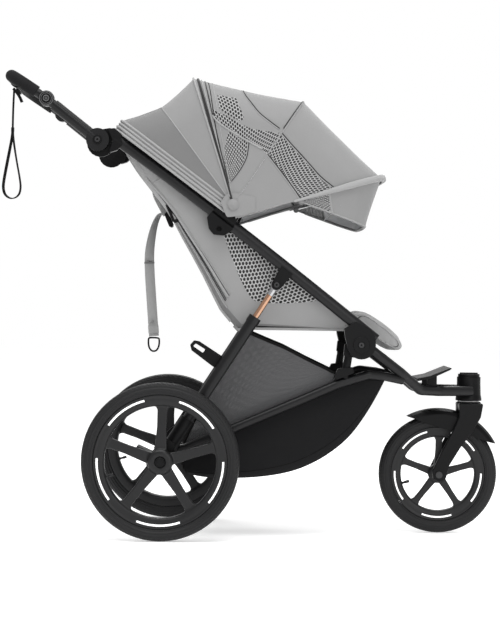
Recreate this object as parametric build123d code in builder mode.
from build123d import *
import math
import os

# Three-wheel jogging stroller, millimetres: +X forward, +Y the child's left, +Z up.
# A station is (x, z) or (x, z, y): x from the rear axle line, z from the floor and
# y from the centre plane. X_SHIFT moves the x origin to the middle of the footprint.

# ---- driving dimensions ----
X_SHIFT = 217.0
WHEELBASE = 695.7
REAR_RADIUS, REAR_TYRE_WIDTH, REAR_TRACK = 192.0, 44.0, 560.0
FRONT_RADIUS, FRONT_TYRE_WIDTH = 150.0, 40.0
REAR_Y = REAR_TRACK / 2
STEER_X = 772.7
TUBE_Y = 225.0            # side tubes, rear legs and handle arms
STAY_Y = 195.0            # lower stays
WALL = 2.0                # tube wall
RUN = 0.05                # running clearance, radial
SOFT_GAP = 0.2            # gap between stacked soft parts
CUT = Mode.SUBTRACT

# ---- pivots and axles, (x, z) ----
REAR_AXLE = (0.0, REAR_RADIUS)
FRONT_AXLE = (WHEELBASE, FRONT_RADIUS)
FOLD_PIVOT = (484.8, 479.2)        # front fold housing
HANDLE_PIVOT = (-165.2, 971.9)     # handle fold
HEIGHT_PIVOT = (-291.4, 1070.5)    # handle height
STRUT_PIVOT = (276.1, 623.2)       # suspension strut
BACK_PIVOT = (195.0, 525.0)        # seat recline
CANOPY_PIVOT = (167.2, 816.6)
VISOR_PIVOT = (333.0, 826.0)
FRONT_CROSS = (487, 478)           # cross tube under the front of the seat
REAR_BEAM = (-20, 182)             # cross beam between the rear legs
LATCH_PIVOT = (152, 429)

# ---- pins and round stock, radii ----
REAR_AXLE_R, FRONT_AXLE_R = 6.0, 5.0
HANDLE_PIN_R, HEIGHT_PIN_R = 6.0, 5.0
STRUT_PIN_R, CANOPY_PIN_R = 5.0, 5.0
VISOR_PIN_R, LATCH_PIN_R = 2.0, 4.0
SIDE_TUBE_HALF_WIDTH, SIDE_TUBE_HALF_HEIGHT = 11.0, 14.5
FRONT_TUBE_R, FRONT_TUBE_BEND = 12.5, 26
STAY_R, STAY_BEND = 11.0, 24
CROSS_R = 9.0
BEAM_R = 9.9
LEG_R, LEG_BORE = 14.5, 11.0
STEM_R = 12.0

# Rear legs and struts share one line from the rear axle to the strut pivot.
LEG_SPAN = 511.8
LEG_DIR = ((STRUT_PIVOT[0] - REAR_AXLE[0]) / LEG_SPAN, (STRUT_PIVOT[1] - REAR_AXLE[1]) / LEG_SPAN)

# ---- tube centre lines on the left side ----
# (x, z), handle end first
SIDE_TUBE = [(-124, 977.2), (138.2, 787.3), (308.5, 657.7), (456.5, 542.5), (520, 492.5)]
# (x, z, y), rear end first
FRONT_TUBE = [(478, 492, 194), (533, 451, 190), (588, 410, 157), (640, 366, 106),
              (690, 362.5, 70), (776, 362.5, 43.5)]
LOWER_STAY = [(24, 214, STAY_Y), (58.2, 220, STAY_Y), (179.4, 272.6, STAY_Y),
              (337.2, 340.7, STAY_Y), (430, 382, STAY_Y),
              (504.5, 406, 190), (545, 402, 176), (592, 392, 150)]


# ---- points ----
def at(x, z, y=0.0):
    return (x - X_SHIFT, y, z)


def polar(centre, radius, angle):
    turn = math.radians(angle)
    return (centre[0] + radius * math.cos(turn), centre[1] + radius * math.sin(turn))


def along(start, direction, distance):
    return (start[0] + direction[0] * distance, start[1] + direction[1] * distance)


def on_side(stations, sign):
    return [(x, z, sign * y) for x, z, y in stations]


def span(sign, near, far):
    """Low and high y of a part between two distances from the centre plane."""
    return sorted((sign * near, sign * far))


def both(near, far):
    return span(1, near, far), span(-1, near, far)


def crown(outer, outer_top, inner, inner_top):
    """Closed profile symmetric in its first coordinate, from its positive half walls."""
    return ([(-x, z) for x, z in outer] + [(0, outer_top)] + outer[::-1]
            + inner + [(0, inner_top)] + [(-x, z) for x, z in inner[::-1]])


# ---- solids, added to or cut from the open part ----
def side_plane(y):
    """Side view at y; extrusions from it run towards -Y."""
    return Plane(origin=(-X_SHIFT, y, 0), x_dir=(1, 0, 0), z_dir=(0, -1, 0))


def slab(points, y_low, y_high, corner=0.0, mode=Mode.ADD):
    """Side-view outline extruded across y, its corners rounded by corner."""
    with BuildSketch(side_plane(y_high), mode=Mode.PRIVATE) as outline:
        with BuildLine():
            Polyline(*points, close=True)
        make_face()
        if corner:
            fillet(outline.vertices(), corner)
    extrude(outline.sketch, amount=y_high - y_low, mode=mode)


def disc(centre, radius, y_low, y_high, bore=0.0, mode=Mode.ADD):
    with BuildSketch(side_plane(y_high), mode=Mode.PRIVATE) as outline:
        with Locations(centre):
            Circle(radius)
            if bore:
                Circle(bore, mode=CUT)
    extrude(outline.sketch, amount=y_high - y_low, mode=mode)


def rod(start, end, radius, bore=0.0, mode=Mode.ADD):
    """Straight round bar between two stations."""
    reach = Vector(*at(*end)) - Vector(*at(*start))
    with BuildSketch(Plane(origin=at(*start), z_dir=reach), mode=Mode.PRIVATE) as outline:
        Circle(radius)
        if bore:
            Circle(bore, mode=CUT)
    extrude(outline.sketch, amount=reach.length, mode=mode)


def rod_along(origin, direction, near, far, radius, bore=0.0, mode=Mode.ADD):
    """Rod at TUBE_Y between two distances along a line from origin."""
    rod((*along(origin, direction, near), TUBE_Y), (*along(origin, direction, far), TUBE_Y),
        radius, bore, mode)


def cross_rod(centre, half_span, radius, bore=0.0, mode=Mode.ADD):
    rod((*centre, -half_span), (*centre, half_span), radius, bore, mode)


def tube(stations, radius, bend, bore=0.0, mode=Mode.ADD):
    """Round bar or tube bent through the stations."""
    with BuildLine(mode=Mode.PRIVATE) as path:
        FilletPolyline(*[at(*station) for station in stations], radius=bend)
    start = Plane(origin=path.line @ 0, z_dir=path.line % 0)
    with BuildSketch(start, mode=Mode.PRIVATE) as ring:
        Circle(radius)
        if bore:
            Circle(bore, mode=CUT)
    sweep(ring.sketch, path=path.line, mode=mode)


def side_tube(hollow=True, mode=Mode.ADD):
    """Left side tube, oval; solid when it is used as a cutter."""
    with BuildLine(mode=Mode.PRIVATE) as path:
        Spline(*[at(x, z, TUBE_Y) for x, z in SIDE_TUBE])
    start = Plane(origin=path.line @ 0, x_dir=(0, 1, 0), z_dir=path.line % 0)
    with BuildSketch(start, mode=Mode.PRIVATE) as ring:
        Ellipse(SIDE_TUBE_HALF_WIDTH, SIDE_TUBE_HALF_HEIGHT)
        if hollow:
            Ellipse(SIDE_TUBE_HALF_WIDTH - WALL, SIDE_TUBE_HALF_HEIGHT - WALL, mode=CUT)
    sweep(ring.sketch, path=path.line, mode=mode)


def ribbon(stations, width, thickness, bend):
    """Flat strap: width across y, thickness in the side view."""
    with BuildLine(mode=Mode.PRIVATE) as path:
        FilletPolyline(*[at(*station) for station in stations], radius=bend)
    start = Plane(origin=path.line @ 0, x_dir=(0, 1, 0), z_dir=path.line % 0)
    with BuildSketch(start, mode=Mode.PRIVATE) as flat:
        Rectangle(width, thickness)
    sweep(flat.sketch, path=path.line)


def turned(centre, y, profile):
    """(lateral, radius) profile turned about the lateral axis through centre."""
    origin = at(*centre, y)
    plane = Plane(origin=origin, x_dir=(0, 1, 0), z_dir=(1, 0, 0))
    with BuildSketch(plane, mode=Mode.PRIVATE) as half:
        with BuildLine():
            Polyline(*profile, close=True)
        make_face()
    revolve(half.sketch, axis=Axis(origin, (0, 1, 0)))


def carve(*pieces):
    """Cut finished pieces out of the open part."""
    for piece in pieces:
        add(piece.part, mode=CUT)


# ================= main frame =================
with BuildPart() as side_tubes:
    side_tube()
    mirror(about=Plane.XZ)

# (radius, z) half section of the steering head
HEAD_PROFILE = [(0, 337), (33, 337), (33, 342), (31, 352), (30, 380), (30, 397), (0, 397)]
CHEEK = [(756, 351), (776, 351), (776, 374), (756, 374)]

with BuildPart() as head_housing:
    with BuildSketch(Plane(origin=at(STEER_X, 0), x_dir=(1, 0, 0), z_dir=(0, -1, 0))):
        with BuildLine():
            Polyline(*HEAD_PROFILE, close=True)
        make_face()
    revolve(axis=Axis(at(STEER_X, 0), (0, 0, 1)))
    # stem bore
    with BuildSketch(Plane(origin=at(STEER_X, 330))):
        Circle(STEM_R + RUN)
    extrude(amount=61, mode=CUT)
    # cheek bosses the front tubes are welded to
    for low, high in both(27, 36):
        slab(CHEEK, low, high)

with BuildPart() as front_frame:
    tube(FRONT_TUBE, FRONT_TUBE_R, FRONT_TUBE_BEND, bore=FRONT_TUBE_R - WALL)
    carve(head_housing)
    mirror(about=Plane.XZ)
    cross_rod(FRONT_CROSS, 193, CROSS_R)

with BuildPart() as lower_stays:
    tube(LOWER_STAY, STAY_R, STAY_BEND, bore=STAY_R - WALL)
    # rear end lug
    disc((22, 212), 13.0, STAY_Y - 9, STAY_Y + 10)
    carve(front_frame)
    mirror(about=Plane.XZ)

STAY_SADDLE = [(424, 392), (470, 410), (466, 424), (430, 420), (420, 400)]
POST_CAP = [(443, 452), (472, 447), (474, 478), (446, 482)]
# half circle below the pivot, then the part that reaches up round the side tube
FOLD_SHELL = ([polar(FOLD_PIVOT, 35, 180 + 15 * k) for k in range(13)]
              + [(518, 500), (505, 519), (470, 537), (443, 518), (445, 498)])

with BuildPart() as fold_housings:
    # posts and saddles that tie the lower stays to the fold housings
    rod((447, 396, STAY_Y), (457, 462, STAY_Y), 10.0)
    slab(STAY_SADDLE, STAY_Y - 14, STAY_Y + 13.5, 3)
    slab(POST_CAP, STAY_Y - 12, STAY_Y + 14, 4)
    tube(LOWER_STAY, STAY_R, STAY_BEND, mode=CUT)
    slab(FOLD_SHELL, 207.5, 240, 3)
    disc(FOLD_PIVOT, 20, 238, 243)
    disc(FOLD_PIVOT, 6.0, 200, 208)
    side_tube(hollow=False, mode=CUT)
    carve(front_frame)
    # recess under the bolt head
    disc(FOLD_PIVOT, 8.0, 241, 244, mode=CUT)
    mirror(about=Plane.XZ)

FOOT_PLATE = [(634, 387.5), (668, 394), (716, 416.5), (722, 421.5), (717, 422), (666, 401),
              (634, 394.5)]
FOOT_LUG = [(660, 372), (684, 372), (684, 402), (660, 396)]

with BuildPart() as footrest:
    slab(FOOT_PLATE, -92, 92, 1.5)
    # side lugs down to the tubes
    for low, high in both(74, 82):
        slab(FOOT_LUG, low, high)
    for sign in (1, -1):
        tube(on_side(FRONT_TUBE[2:], sign), FRONT_TUBE_R + 0.1, FRONT_TUBE_BEND, mode=CUT)

# directions square to the side tube and along it, at the strut bracket
EAR_UP, EAR_ALONG = (0.605, 0.796), (0.796, -0.605)
EAR_TOP = 44


def ear_point(rise, shift):
    return along(along(STRUT_PIVOT, EAR_UP, rise), EAR_ALONG, shift)


EAR_SHOULDERS = [ear_point(EAR_TOP, 15), ear_point(EAR_TOP, -19)]
EAR = [polar(STRUT_PIVOT, 13, 142.8 + 18 * k) for k in range(11)] + EAR_SHOULDERS
EAR_WEB = [ear_point(21, -13), ear_point(21, 12)] + EAR_SHOULDERS
EAR_GAP = (216.5, 233.5)
CANOPY_CLAMP = [(104, 786), (109, 758), (121, 744), (146, 742), (165, 754), (180, 782),
                (190, 806), (184, 828), (156, 834), (138, 820), (122, 806)]

with BuildPart() as tube_brackets:
    # clevises for the suspension struts: rounded ears with a web where they meet the tube
    for low, high in ((211.0, EAR_GAP[0]), (EAR_GAP[1], 239.0)):
        slab(EAR, low, high)
    slab(EAR_WEB, *EAR_GAP)
    disc(STRUT_PIVOT, STRUT_PIN_R, 205, 211)
    disc(STRUT_PIVOT, STRUT_PIN_R, *EAR_GAP)
    disc(STRUT_PIVOT, 8.5, 239, 242.5)
    # canopy clamps, each with a headed pin and a round socket in its outer face
    slab(CANOPY_CLAMP, 207, 236, 4)
    disc(CANOPY_PIVOT, CANOPY_PIN_R, 236, 256)
    disc(CANOPY_PIVOT, 12.0, 256, 260)
    disc((134, 758), 6.0, 222, 237, mode=CUT)
    side_tube(hollow=False, mode=CUT)
    mirror(about=Plane.XZ)

HANDLE_CHEEK = ([polar((-158.6, 964.2), 33.5, 95 + 17 * k) for k in range(14)]
                + [(-122, 950), (-112, 972), (-117, 991), (-136, 1002)])
TUBE_CLAMP = [(-137, 940), (-118, 946), (-104, 960), (-108, 986), (-124, 1000), (-140, 998),
              (-128, 970)]

with BuildPart() as handle_shells:
    # fixed inner cheeks of the handle joint, clamped round the top of the side tubes
    slab(HANDLE_CHEEK, 206.5, 213, 3)
    slab(TUBE_CLAMP, 213, 236.5, 3)
    disc(HANDLE_PIVOT, HANDLE_PIN_R, 213, 237.5)
    disc(HANDLE_PIVOT, 11.0, 236.8, 239.2)
    side_tube(hollow=False, mode=CUT)
    # room round the pin for the arm's boss, which turns outside the cheek
    disc(HANDLE_PIVOT, 31.5, 213, 236.8, bore=HANDLE_PIN_R, mode=CUT)
    mirror(about=Plane.XZ)

BOLT_HEAD = 2.6
# pivot, y of the underside of the head
BOLTS = ((FOLD_PIVOT, 241.2), (HANDLE_PIVOT, 239.4), (STRUT_PIVOT, 242.7))

with BuildPart() as frame_bolts:
    for pivot, y in BOLTS:
        with BuildSketch(side_plane(y + BOLT_HEAD), mode=Mode.PRIVATE) as head:
            with Locations(pivot):
                Circle(6.5)
                RegularPolygon(3.0, 6, mode=CUT)
        extrude(head.sketch, amount=BOLT_HEAD)
    mirror(about=Plane.XZ)

# ================= seat =================
SEAT_HALF = 170.0
SEAT_BOTTOM, SEAT_TOP = 519, 526
CUSHION_Z, CUSHION_THICKNESS = SEAT_TOP + SOFT_GAP, 28
SEAT_SECTION = [(206, SEAT_BOTTOM), (452, SEAT_BOTTOM), (452, SEAT_TOP), (206, SEAT_TOP)]
SEAT_HANGER = [(478, 490), (496, 490), (452, SEAT_TOP), (440, SEAT_BOTTOM)]

with BuildPart() as seat_pan:
    slab(SEAT_SECTION, -SEAT_HALF - 4, SEAT_HALF + 4, 2)
    # hangers down to the front cross tube
    for low, high in both(120, 128):
        slab(SEAT_HANGER, low, high)
    cross_rod(FRONT_CROSS, 193, CROSS_R + 0.1, mode=CUT)

with BuildPart() as seat_cushion:
    with BuildSketch(Plane(origin=at(332, CUSHION_Z))):
        RectangleRounded(226, 330, 26)
    extrude(amount=CUSHION_THICKNESS)
    fillet(seat_cushion.faces().sort_by(Axis.Z)[-1].edges(), 11)

BACK_LENGTH, BACK_CUSHION = 500.0, 26
BACK_CENTRE = 8 + BACK_LENGTH / 2      # up the backrest from its pivot
BACK_ORIGIN = Vector(*at(*BACK_PIVOT))
BACK_NORMAL = (0.836, 0, 0.548)        # towards the child


def back(offset):
    """Plane of the backrest face, moved by offset towards the child."""
    face = Plane(origin=BACK_ORIGIN, x_dir=(0, 1, 0), z_dir=BACK_NORMAL)
    return Plane(origin=face.origin + face.z_dir * offset, x_dir=(0, 1, 0), z_dir=face.z_dir)


BACK_AXIS = Axis(BACK_ORIGIN, back(0).z_dir)

with BuildPart() as backrest_board:
    with BuildSketch(back(-7)):
        with Locations((0, BACK_CENTRE)):
            RectangleRounded(2 * SEAT_HALF, BACK_LENGTH, 40)
    extrude(amount=7)
    # pivot ears either side of the seat pan
    for low, high in both(164, 170):
        disc(BACK_PIVOT, 9.0, low, high)

with BuildPart() as backrest_cushion:
    with BuildSketch(back(SOFT_GAP)):
        with Locations((0, BACK_CENTRE)):
            RectangleRounded(2 * SEAT_HALF - 8, BACK_LENGTH - 10, 44)
    extrude(amount=BACK_CUSHION)
    fillet(backrest_cushion.faces().sort_by(BACK_AXIS)[-1].edges(), 10)

with BuildPart() as shoulder_straps:
    with BuildSketch(back(BACK_CUSHION + 2 * SOFT_GAP)):
        with Locations((52, 285), (-52, 285)):
            RectangleRounded(38, 250, 8)
    extrude(amount=7)
    # straight edges of the front faces
    fillet(shoulder_straps.edges().filter_by(GeomType.LINE).sort_by(BACK_AXIS)[-4:], 2)

HARNESS_Z = CUSHION_Z + CUSHION_THICKNESS + SOFT_GAP
BUCKLE_X, BUCKLE_HEIGHT = 290, 15
WEBBING = 2.4

with BuildPart() as harness:
    # waist straps from the seat corners and the crotch strap
    with BuildSketch(Plane(origin=at(BUCKLE_X, HARNESS_Z))):
        with Locations((0, 88), (0, -88)):
            Rectangle(25, 110)
    extrude(amount=WEBBING)
    with BuildSketch(Plane(origin=at(345, HARNESS_Z))):
        Rectangle(70, 26)
    extrude(amount=WEBBING)
    # central buckle with its release button
    with BuildSketch(Plane(origin=at(BUCKLE_X, HARNESS_Z))):
        RectangleRounded(38, 58, 9)
    extrude(amount=BUCKLE_HEIGHT)
    with BuildSketch(Plane(origin=at(BUCKLE_X, HARNESS_Z + BUCKLE_HEIGHT))):
        Circle(13)
    extrude(amount=2.5)

SIDE_PANEL = [(198, 520), (440, 522), (472, 536), (420, 570), (300, 664), (138, 787), (-60, 931),
              (-96, 952), (-74, 915), (36, 770), (90, 682), (150, 592)]

with BuildPart() as side_panels:
    slab(SIDE_PANEL, 196, 198.5)
    mirror(about=Plane.XZ)

LEG_REST = [(461, 541), (472, 557), (497, 555), (538, 528), (576, 498), (592, 477), (583, 466),
            (566, 469), (530, 492), (492, 526)]

with BuildPart() as leg_rest:
    slab(LEG_REST, -164, 164, 6)
    # hinge rod along the front edge of the seat
    disc((458, 545), 4.0, -158, 158)

BUCKLE_BAR = (-10.5, 801)
STRAP_PATH = [BUCKLE_BAR, (-24, 790), (-37, 751), (-47, 682), (-39, 560), (-30, 485)]

with BuildPart() as recline_strap:
    ribbon(STRAP_PATH, width=25, thickness=2.2, bend=18)

LADDER_OUTER = [(-19, 791), (-7, 812), (0.5, 806), (-11, 786)]
LADDER_WINDOW = [(-20, 797), (-12, 810), (-6, 806), (-14, 792)]
# left half of the D ring, (x, z, y)
D_RING = [(-30, 478, 0), (-30, 478, 17), (-28, 462, 17), (-28, 452, 0)]

with BuildPart() as recline_hardware:
    # ladder buckle and the D ring at the strap end
    slab(LADDER_OUTER, -21, 21, 2)
    slab(LADDER_WINDOW, -15, 15, 1, mode=CUT)
    for sign in (1, -1):
        tube(on_side(D_RING, sign), 2.4, 5)
    # middle bar of the buckle, on which the hanging end swings
    disc(BUCKLE_BAR, 3.2, -16, 16)
    carve(recline_strap)

# ================= basket =================
BASKET_HALF, BASKET_WALL = 178.0, 2.6
TUB_TOP = [(47, 200), (58, 208), (179, 262), (337, 331), (446, 379), (504, 398), (545, 396)]
TUB_LOW = [(76, 151), (130, 144), (213, 146), (280, 158), (334, 176), (385, 203), (431, 238),
           (464, 272), (495, 320), (517, 356)]
# inside of the tub, carried on above its rim
TUB_INNER = [(55, 196), (80, 154.5), (130, 147), (212, 149), (279, 161), (333, 179), (383, 206),
             (429, 240.5), (461, 274), (492, 321.5), (513.5, 356), (532, 386), (532, 430),
             (440, 430), (179, 330), (48, 262)]
MESH = [(222, 508), (424, 410), (446, 381), (337, 333), (179, 264), (84, 222), (74, 300),
        (98, 380)]

with BuildPart() as basket_tub:
    slab(TUB_TOP + TUB_LOW[::-1], -BASKET_HALF, BASKET_HALF)
    slab(TUB_INNER, -BASKET_HALF + BASKET_WALL, BASKET_HALF - BASKET_WALL, mode=CUT)
    # clearance round the frame tubes
    for sign in (1, -1):
        tube(on_side(LOWER_STAY[4:], sign), STAY_R + 0.6, STAY_BEND, mode=CUT)
        tube(on_side(FRONT_TUBE[:4], sign), FRONT_TUBE_R + 0.5, FRONT_TUBE_BEND, mode=CUT)

with BuildPart() as basket_mesh:
    slab(MESH, BASKET_HALF + 0.2, BASKET_HALF + 1.8)
    mirror(about=Plane.XZ)
    carve(fold_housings, front_frame)

# ================= suspension and rear frame =================
# Damper distances run down from the strut pivot, leg distances up from the rear axle.
DAMPER_END = 172
SPRING_START = 251
SPRING_LENGTH = LEG_SPAN - DAMPER_END - SPRING_START - 2

with BuildPart() as damper_rods:
    rod_along(STRUT_PIVOT, LEG_DIR, -12, -170, 5.0)
    disc(STRUT_PIVOT, 14.0, 217, 233)
    rod_along(STRUT_PIVOT, LEG_DIR, -12, -30, 8.2)
    rod_along(STRUT_PIVOT, LEG_DIR, -166, -DAMPER_END, 10.5)
    disc(STRUT_PIVOT, STRUT_PIN_R + RUN, 210, 240, mode=CUT)
    mirror(about=Plane.XZ)

with BuildPart() as damper_sleeves:
    rod_along(STRUT_PIVOT, LEG_DIR, -30.2, -160, 7.6, bore=5.02)
    mirror(about=Plane.XZ)

AXLE_BLOCK = [(-34, 168), (8, 164), (30, 190), (34, 232), (14, 248), (-22, 214), (-36, 192)]

with BuildPart() as axle_housings:
    disc(REAR_AXLE, 29, 210, 250)
    rod_along(REAR_AXLE, LEG_DIR, 14, 120, 18.0)
    slab(AXLE_BLOCK, 208.5, 246, 5)
    # sockets for the leg, the axle and the cross beam
    rod_along(REAR_AXLE, LEG_DIR, 40, 130, LEG_R + 0.1, mode=CUT)
    disc(REAR_AXLE, REAR_AXLE_R + RUN, 205, 252, mode=CUT)
    disc(REAR_BEAM, BEAM_R + 0.1, 200, 222, mode=CUT)
    mirror(about=Plane.XZ)

with BuildPart() as rear_frame:
    rod_along(REAR_AXLE, LEG_DIR, 40.2, 414, LEG_R, bore=LEG_BORE)
    # guide collar at the top of each leg and spring seat inside
    rod_along(REAR_AXLE, LEG_DIR, 400, 418, 16.0, bore=7.8)
    rod_along(REAR_AXLE, LEG_DIR, 245, SPRING_START - 1, 11.5)
    mirror(about=Plane.XZ)
    # cross beam with collars either side of the brake pedal
    cross_rod(REAR_BEAM, 221, BEAM_R, bore=BEAM_R - WALL)
    for y in (-70, 70):
        disc(REAR_BEAM, 13.0, y - 6, y + 6, bore=BEAM_R)
    # pin of the fold latch on the right leg
    disc(LATCH_PIVOT, LATCH_PIN_R, -213, -197)
    disc(LATCH_PIVOT, 7.0, -198.5, -196)

with BuildPart() as suspension_springs:
    with BuildLine(mode=Mode.PRIVATE) as coil:
        Helix(pitch=SPRING_LENGTH / 9.0, height=SPRING_LENGTH, radius=8.6,
              center=at(*along(REAR_AXLE, LEG_DIR, SPRING_START), TUBE_Y),
              direction=(LEG_DIR[0], 0, LEG_DIR[1]))
    coil_start = Plane(origin=coil.line @ 0, z_dir=coil.line % 0)
    with BuildSketch(coil_start, mode=Mode.PRIVATE) as wire:
        Circle(1.1)
    sweep(wire.sketch, path=coil.line, is_frenet=True)
    mirror(about=Plane.XZ)

PEDAL = [(-74, 205), (-68, 212), (-30, 195), (-30, 184), (-40, 184)]

with BuildPart() as brake_pedal:
    disc(REAR_BEAM, 13.5, -40, 40, bore=BEAM_R + RUN)
    slab(PEDAL, -34, 34, 2.5)
    disc(REAR_BEAM, BEAM_R + RUN, -45, 45, mode=CUT)

LATCH = [(66.5, 474), (76, 485), (89, 483), (150, 444), (160, 434), (156, 420), (140, 414),
         (122, 421.8), (84.7, 449.7), (70.4, 460)]
LATCH_WINDOW = [(73.5, 471), (81, 477), (104, 463), (98, 454.5)]

with BuildPart() as fold_latch:
    # hooked loop on the right leg that holds the folded frame shut
    disc(LATCH_PIVOT, 12.0, -208, -199)
    slab(LATCH, -207, -199.6, 4)
    slab(LATCH_WINDOW, -208, -199, 2.5, mode=CUT)
    disc(LATCH_PIVOT, LATCH_PIN_R + RUN, -212, -196, mode=CUT)

# ================= wheels =================
SPOKES = 5
REAR_RIM_OUTER, REAR_RIM_INNER, REAR_RIM_HALF = 163.0, 138.0, 17
FRONT_RIM_OUTER, FRONT_RIM_INNER, FRONT_RIM_HALF = 120.0, 96.0, 15
REFLECTOR_ANGLES = (125.0, 53.0, -19.0, -91.0, -163.0)
VALVE_ANGLE = 196
# tyre walls above the bead, (fraction of half width, fraction of tyre height)
TYRE_OUTER = ((0.97, 0.30), (1, 0.48), (0.90, 0.74), (0.66, 0.91), (0.34, 0.985))
TYRE_INNER = ((0.80, 0.42), (0.52, 0.78))


def tyre(centre, y, radius, rim_radius, half):
    """Hollow tyre, open towards the rim."""
    height = radius - rim_radius

    def wall(bead, fractions):
        return [(half * bead, rim_radius + 0.2)] + [
            (half * width, rim_radius + height * rise) for width, rise in fractions]

    turned(centre, y, crown(wall(0.80, TYRE_OUTER), radius, wall(0.62, TYRE_INNER), radius - 4))


def rim(centre, y, out, outer, inner, half, hub, hub_width, mid_width, groove, bore):
    """Rim, hub, spokes and valve stem; out is +1 when the outer face looks towards +Y.

    outer, inner, hub and bore are radii, groove the low and high radius of the groove
    for the reflectors; hub_width and mid_width are spoke widths.
    """
    groove_low, groove_high = groove
    section = [(-half, outer), (half, outer), (half, groove_high + 3),
               (half - 1.5, groove_high + 1), (half - 1.5, groove_low - 1), (half - 3, inner),
               (half - 9, inner - 3), (-half + 9, inner - 3), (-half + 3, inner),
               (-half, inner + 6)]
    turned(centre, y, [(out * lateral, radius) for lateral, radius in section])
    turned(centre, y, [(-half, 0), (half, 0), (half, hub * 0.72), (half - 4, hub),
                       (-half + 4, hub), (-half, hub * 0.8)])
    # (radius, width) of a spoke from hub to rim
    stations = [(hub - 6, hub_width), ((inner + hub) / 2, mid_width),
                (inner - 12, mid_width * 1.06), (inner + 1, hub_width * 1.35)]
    spoke_y = sorted((y - 6 * out, y + 9 * out))
    for k in range(SPOKES):
        angle = math.radians(88.0 + 360.0 / SPOKES * k)
        outward = (math.cos(angle), math.sin(angle))
        across = (-math.sin(angle), math.cos(angle))
        edge = [along(along(centre, outward, radius), across, width / 2)
                for radius, width in stations]
        edge += [along(along(centre, outward, radius), across, -width / 2)
                 for radius, width in reversed(stations)]
        slab(edge, *spoke_y)
    # valve stem and its thicker foot
    valve = (*polar(centre, inner - 22, VALVE_ANGLE), y)
    rod(valve, (*polar(centre, inner + 2, VALVE_ANGLE), y), 3.0)
    rod(valve, (*polar(centre, inner - 10, VALVE_ANGLE), y), 4.0)
    disc(centre, bore, y - 40, y + 40, mode=CUT)


def reflectors(centre, face, out, low, high):
    """Reflective strips in the rim's outer face, which lies face from the centre plane."""
    for middle in REFLECTOR_ANGLES:
        strip = [polar(centre, high, middle - 20 + 40 * i / 10) for i in range(11)]
        strip += [polar(centre, low, middle + 20 - 40 * i / 10) for i in range(11)]
        slab(strip, *span(out, face - 1.4, face + 0.4))


handed = {}    # pieces made once for each side, by name
SIDES = (("left", 1), ("right", -1))

for hand, sign in SIDES:
    with BuildPart() as rear_tyre:
        tyre(REAR_AXLE, sign * REAR_Y, REAR_RADIUS, REAR_RIM_OUTER, REAR_TYRE_WIDTH / 2)
    with BuildPart() as rear_rim:
        rim(REAR_AXLE, sign * REAR_Y, sign, REAR_RIM_OUTER, REAR_RIM_INNER, REAR_RIM_HALF,
            hub=31, hub_width=30, mid_width=23, groove=(149.6, 155.4), bore=REAR_AXLE_R + 0.02)
        # recess for the hub button
        disc(REAR_AXLE, 12.2, *span(sign, REAR_Y + 10, REAR_Y + 18), mode=CUT)
    with BuildPart() as rear_reflectors:
        reflectors(REAR_AXLE, REAR_Y + REAR_RIM_HALF - 0.1, sign, 150.2, 154.9)
    with BuildPart() as rear_axle:
        disc(REAR_AXLE, REAR_AXLE_R, *span(sign, 212, REAR_Y + 9))
        disc(REAR_AXLE, 11.0, *span(sign, 250.5, 262.8))
    with BuildPart() as hub_button:
        disc(REAR_AXLE, 12.0, *span(sign, REAR_Y + 13.2, REAR_Y + 20))
        disc(REAR_AXLE, 8.5, *span(sign, REAR_Y + 20, REAR_Y + 22))
    handed["rear_tyre_" + hand] = rear_tyre
    handed["rear_rim_" + hand] = rear_rim
    handed["rear_reflectors_" + hand] = rear_reflectors
    handed["rear_axle_" + hand] = rear_axle
    handed["hub_button_" + hand] = hub_button

with BuildPart() as front_tyre:
    tyre(FRONT_AXLE, 0, FRONT_RADIUS, FRONT_RIM_OUTER, FRONT_TYRE_WIDTH / 2)
with BuildPart() as front_rim:
    rim(FRONT_AXLE, 0, -1, FRONT_RIM_OUTER, FRONT_RIM_INNER, FRONT_RIM_HALF,
        hub=24, hub_width=20, mid_width=15.5, groove=(107.2, 112.2), bore=FRONT_AXLE_R + RUN)
with BuildPart() as front_reflectors:
    reflectors(FRONT_AXLE, FRONT_RIM_HALF - 0.1, -1, 107.7, 111.7)

# ================= front fork =================
with BuildPart() as steering_stem:
    rod((STEER_X, 318), (STEER_X, 389), STEM_R)
    rod((STEER_X, 334.2), (STEER_X, 336.6), 27.0)

FORK_INNER, FORK_OUTER = 33.0, 48.0    # y of the fork legs
FORK_CROWN = [(744, 331), (806, 331), (800, 296), (789, 277), (748, 296)]
FORK_LEG = [(745, 328), (798, 328), (792, 284), (781, 262), (750, 220), (721, 172), (713, 140),
            (697, 132), (681, 140), (678, 158), (700, 205), (730, 262), (745, 298)]

with BuildPart() as front_fork:
    rod((STEER_X, 300), (STEER_X, 334), 31.0)
    slab(FORK_CROWN, -FORK_OUTER, FORK_OUTER, 3)
    for low, high in both(FORK_INNER, FORK_OUTER):
        slab(FORK_LEG, low, high)
    # room for the wheel and fender, then the axle and stem bores
    disc(FRONT_AXLE, 167.5, -32.9, 32.9, mode=CUT)
    disc(FRONT_AXLE, FRONT_AXLE_R, -60, 60, mode=CUT)
    rod((STEER_X, 318), (STEER_X, 340), STEM_R, mode=CUT)

# half section of the fender, (y, radius from the axle)
FENDER_OUTER = [(31, 100), (31, 152), (26, 161), (16, 165.5)]
FENDER_INNER = [(28.6, 100), (28.6, 151), (24.4, 158.8), (15.3, 163)]
# side outline the shell is trimmed to, (x, z) from the front axle
FENDER_TRIM = [(-85.5, 147), (-62.7, 140), (-37.1, 129.5), (-2.9, 120), (20, 113.5),
               (42.8, 105.5), (60, 102), (71.3, 101.5), (88.4, 96.5), (122.6, 84.4), (152, 77),
               (190, 92), (160, 180), (0, 200), (-110, 180)]

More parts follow.
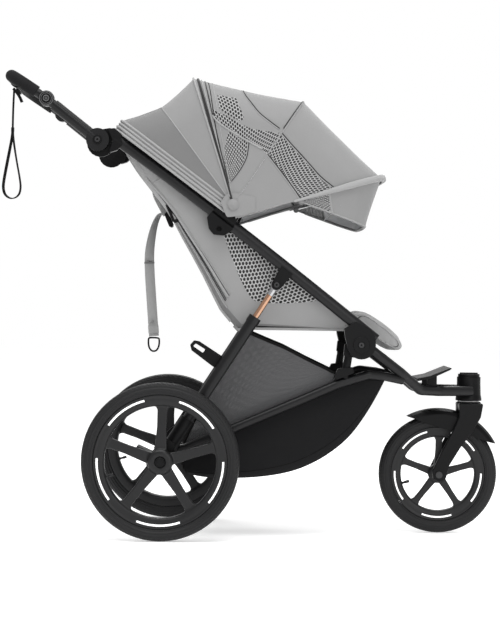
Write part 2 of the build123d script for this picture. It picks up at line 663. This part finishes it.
with BuildPart() as front_fender:
    # U-shaped shell turned round the axle from 25 to 121 degrees, skirts cut to a point
    start = math.radians(25)
    with BuildSketch(Plane(origin=at(*FRONT_AXLE), x_dir=(0, 1, 0),
                           z_dir=(math.sin(start), 0, -math.cos(start)))):
        with BuildLine():
            Polyline(*crown(FENDER_OUTER, 167, FENDER_INNER, 164.5), close=True)
        make_face()
    revolve(axis=Axis(at(*FRONT_AXLE), (0, -1, 0)), revolution_arc=96)
    slab([(FRONT_AXLE[0] + x, FRONT_AXLE[1] + z) for x, z in FENDER_TRIM], -60, 60,
         mode=Mode.INTERSECT)

with BuildPart() as front_axle:
    disc(FRONT_AXLE, FRONT_AXLE_R, -FORK_OUTER, FORK_OUTER)
    # heads outside the fork, then spacers inside it
    for low, high in both(FORK_OUTER, 53):
        disc(FRONT_AXLE, 8.5, low, high)
    for low, high in both(16.5, 32.8):
        disc(FRONT_AXLE, 9.5, low, high)

KNOB_TOP = 404.5

with BuildPart() as swivel_knob:
    rod((STEER_X, 397.4), (STEER_X, KNOB_TOP), 27.5)
    with BuildSketch(Plane(origin=at(STEER_X, KNOB_TOP))):
        SlotOverall(46, 12)
    extrude(amount=3.5)

# ================= handle =================
ARM_LENGTH = 160.15
ARM_DIR = ((HEIGHT_PIVOT[0] - HANDLE_PIVOT[0]) / ARM_LENGTH,
           (HEIGHT_PIVOT[1] - HANDLE_PIVOT[1]) / ARM_LENGTH)
BAR_DIR = polar((0, 0), 1, 147)
BAR_END = along(HEIGHT_PIVOT, BAR_DIR, 109)
BAR_R, BAR_BEND, GRIP_R = 11.0, 52, 15.0
FORK_SLOT = (221, 229)         # y of the slot in the arm's top end
EYE = (221.3, 228.7)           # y of the bar's eye, which turns in the slot

with BuildPart() as handle_arms:
    rod_along(HANDLE_PIVOT, ARM_DIR, 10, 150, 11.4)
    arm_start = Plane(origin=at(*along(HANDLE_PIVOT, ARM_DIR, 24), TUBE_Y), x_dir=(0, 1, 0),
                      z_dir=(ARM_DIR[0], 0, ARM_DIR[1]))
    with BuildSketch(arm_start, mode=Mode.PRIVATE) as arm:
        SlotOverall(28, 20, rotation=90)
    extrude(arm.sketch, amount=112)
    disc(HANDLE_PIVOT, 28.0, 214, 235.5)
    # forked top end with its pin and the button recess
    disc(HEIGHT_PIVOT, 19.0, 214, FORK_SLOT[0])
    disc(HEIGHT_PIVOT, 19.0, FORK_SLOT[1], 236)
    disc(HEIGHT_PIVOT, 20.5, *FORK_SLOT, mode=CUT)
    disc(HEIGHT_PIVOT, HEIGHT_PIN_R, *FORK_SLOT)
    disc(HEIGHT_PIVOT, 10.2, 232.5, 240, mode=CUT)
    disc(HANDLE_PIVOT, HANDLE_PIN_R + RUN, 205, 245, mode=CUT)
    mirror(about=Plane.XZ)


def bar_path(start):
    """Left half of the handle bar, from a distance past the height pivot."""
    return [(*along(HEIGHT_PIVOT, BAR_DIR, start), TUBE_Y), (*BAR_END, TUBE_Y), (*BAR_END, 0)]


with BuildPart() as handle_bar:
    tube(bar_path(12), BAR_R, BAR_BEND, bore=BAR_R - WALL)
    disc(HEIGHT_PIVOT, 19.0, *EYE)
    rod_along(HEIGHT_PIVOT, BAR_DIR, 12, 30, 9.3)
    disc(HEIGHT_PIVOT, HEIGHT_PIN_R + RUN, 215, 235, mode=CUT)
    # flats either side of the eye
    for low, high in ((205.0, EYE[0]), (EYE[1], 245.0)):
        disc(HEIGHT_PIVOT, 19.8, low, high, mode=CUT)
    mirror(about=Plane.XZ)

with BuildPart() as handle_grip:
    tube(bar_path(30), GRIP_R, BAR_BEND, bore=BAR_R + 0.02)
    mirror(about=Plane.XZ)

for hand, sign in SIDES:
    with BuildPart() as handle_button:
        disc(HEIGHT_PIVOT, 10.0, *span(sign, 235.6, 240))
    handed["handle_button_" + hand] = handle_button

STRAP_Y = -60
WRIST_LOOP = [(-398, 1112), (-382, 1112), (-376, 1096), (-366, 1086), (-369, 1074), (-380, 1082),
              (-396, 1092)]
# rear and front bands of the hanging loop
WRIST_BANDS = ([(-394.2, 1003), (-412, 892), (-409, 846), (-391, 833)],
               [(-388.8, 1003), (-370, 892), (-373, 846), (-392, 833)])
WRIST_CLIP = [(-397, 999), (-386, 999), (-387, 1010), (-396, 1010)]

with BuildPart() as wrist_strap:
    slab(WRIST_LOOP, STRAP_Y - 8, STRAP_Y + 8, 2)
    rod((*BAR_END, -120), (*BAR_END, 0), GRIP_R + 0.1, mode=CUT)
    rod((-389.5, 1091, STRAP_Y), (-391.5, 1000, STRAP_Y), 2.2)
    for band in WRIST_BANDS:
        ribbon([(x, z, STRAP_Y) for x, z in band], width=9, thickness=2.0, bend=12)
    slab(WRIST_CLIP, STRAP_Y - 5, STRAP_Y + 5, 2)


# ================= canopy =================
def square_to(angle):
    turn = math.radians(angle)
    return (math.sin(turn), -math.cos(turn))


def fan_plane(pivot, angle, drop=0.0):
    """Plane of the y direction and the ray at this angle; drop shifts it square to the ray."""
    normal = square_to(angle)
    return Plane(origin=at(*along(pivot, normal, drop)), x_dir=(0, 1, 0),
                 z_dir=(normal[0], 0, normal[1]))


SKIN = 1.6
CANOPY_HALF, CANOPY_CORNER = 256.8, 92
FRONT_DROP, FRONT_BOW_ANGLE = 32.6, 18.2


def arch(plane, length, half, corner, root):
    """Face of a fabric edge: a round-cornered arch, SKIN thick, open at its root."""
    with BuildSketch(plane, mode=Mode.PRIVATE) as outline:
        with BuildLine():
            FilletPolyline((-half, root), (-half, length), (half, length), (half, root),
                           radius=corner)
            FilletPolyline((-half + SKIN, root), (-half + SKIN, length - SKIN),
                           (half - SKIN, length - SKIN), (half - SKIN, root),
                           radius=corner - SKIN)
            Line((-half, root), (-half + SKIN, root))
            Line((half - SKIN, root), (half, root))
        make_face()
    return outline.sketch.faces()[0]


def panel(*edges):
    """Fabric panel between two arches."""
    with BuildPart() as fabric:
        loft([arch(*edge) for edge in edges], ruled=True)
    return fabric


def bow(plane, length, half, corner, radius, root):
    """Round wire bent into an arch."""
    with BuildLine(plane, mode=Mode.PRIVATE) as path:
        FilletPolyline((-half, root), (-half, length), (half, length), (half, root),
                       radius=corner)
    start = Plane(origin=path.line @ 0, z_dir=path.line % 0)
    with BuildSketch(start, mode=Mode.PRIVATE) as ring:
        Circle(radius)
    sweep(ring.sketch, path=path.line)


def pivot_hole(pivot, pin_radius):
    disc(pivot, pin_radius + RUN, -260, 260, mode=CUT)


def hinged_bow(angle, length, half):
    """Canopy bow with an eye on the canopy pivot at each end."""
    with BuildPart() as hoop:
        bow(fan_plane(CANOPY_PIVOT, angle), length, half, 84, 2.8, 12)
        for low, high in both(half - 2.7, half + 2.7):
            disc(CANOPY_PIVOT, 12.0, low, high)
        pivot_hole(CANOPY_PIVOT, CANOPY_PIN_R)
    return hoop


canopy_rear_panel = panel(
    (fan_plane(CANOPY_PIVOT, 143.5), 344, 246, 70, 30),
    (fan_plane(CANOPY_PIVOT, 108.5), 328, CANOPY_HALF, CANOPY_CORNER, 30))
canopy_mid_panel = panel(
    (fan_plane(CANOPY_PIVOT, 108.2), 328, CANOPY_HALF, CANOPY_CORNER, 30),
    (fan_plane(CANOPY_PIVOT, 56.8), 308, CANOPY_HALF, CANOPY_CORNER, 30))
canopy_front_panel = panel(
    (fan_plane(CANOPY_PIVOT, 56.5), 308, CANOPY_HALF, CANOPY_CORNER, 30),
    (fan_plane(CANOPY_PIVOT, 16.2, FRONT_DROP), 368, CANOPY_HALF, CANOPY_CORNER, 34))
visor_panel = panel(
    (fan_plane(VISOR_PIVOT, 14.2), 204, CANOPY_HALF, 90, 12),
    (fan_plane(VISOR_PIVOT, -19.7), 174, 253, 82, 12))

canopy_bow_rear = hinged_bow(108.2, 318, 239.5)
canopy_bow_mid = hinged_bow(56.5, 298, 245.5)

BOW_ROOT = along(CANOPY_PIVOT, square_to(FRONT_BOW_ANGLE), FRONT_DROP)
BOW_LINK = [along(CANOPY_PIVOT, (-4, -2), 1), along(CANOPY_PIVOT, (9, 6), 1),
            along(BOW_ROOT, (8, 5), 1), along(BOW_ROOT, (-3, -3), 1)]
VISOR_LUG = [along(VISOR_PIVOT, offset, 1) for offset in ((-5, -3), (5, -3), (5, 12), (-5, 8))]

with BuildPart() as canopy_bow_front:
    bow(fan_plane(CANOPY_PIVOT, FRONT_BOW_ANGLE, FRONT_DROP), 351.5, 251.3, 86, 2.8, 2)
    # eyes on the canopy pivot, linked to the dropped ends of the bow
    for low, high in both(248.8, 254.2):
        disc(CANOPY_PIVOT, 12.0, low, high)
        slab(BOW_LINK, low, high)
    # visor pins and the lugs that carry them
    for low, high in both(242.6, 251.5):
        disc(VISOR_PIVOT, VISOR_PIN_R, low, high)
    for low, high in both(248.9, 254.1):
        slab(VISOR_LUG, low, high)
    pivot_hole(CANOPY_PIVOT, CANOPY_PIN_R)

with BuildPart() as visor_rim:
    bow(fan_plane(VISOR_PIVOT, -19.2), 168, 245.5, 76, 2.3, 6)
    for low, high in both(243.0, 248.0):
        disc(VISOR_PIVOT, 7.0, low, high)
    pivot_hole(VISOR_PIVOT, VISOR_PIN_R)

# ================= export =================
PIECES = dict(
    side_tubes=side_tubes, head_housing=head_housing, front_frame=front_frame,
    lower_stays=lower_stays, fold_housings=fold_housings, footrest=footrest,
    tube_brackets=tube_brackets, handle_shells=handle_shells, frame_bolts=frame_bolts,
    seat_pan=seat_pan, seat_cushion=seat_cushion, backrest_board=backrest_board,
    backrest_cushion=backrest_cushion, shoulder_straps=shoulder_straps, harness=harness,
    side_panels=side_panels, leg_rest=leg_rest, recline_strap=recline_strap,
    recline_hardware=recline_hardware, basket_tub=basket_tub, basket_mesh=basket_mesh,
    damper_rods=damper_rods, damper_sleeves=damper_sleeves, axle_housings=axle_housings,
    rear_frame=rear_frame, suspension_springs=suspension_springs, brake_pedal=brake_pedal,
    fold_latch=fold_latch, front_tyre=front_tyre, front_rim=front_rim,
    front_reflectors=front_reflectors, steering_stem=steering_stem, front_fork=front_fork,
    front_fender=front_fender, front_axle=front_axle, swivel_knob=swivel_knob,
    handle_arms=handle_arms, handle_bar=handle_bar, handle_grip=handle_grip,
    wrist_strap=wrist_strap, canopy_rear_panel=canopy_rear_panel,
    canopy_mid_panel=canopy_mid_panel, canopy_front_panel=canopy_front_panel,
    canopy_bow_rear=canopy_bow_rear, canopy_bow_mid=canopy_bow_mid,
    canopy_bow_front=canopy_bow_front, visor_rim=visor_rim, visor_panel=visor_panel,
    **handed,
)
os.makedirs("parts", exist_ok=True)
for name, piece in PIECES.items():
    piece.part.label = name
    export_step(piece.part, "parts/" + name + ".step")
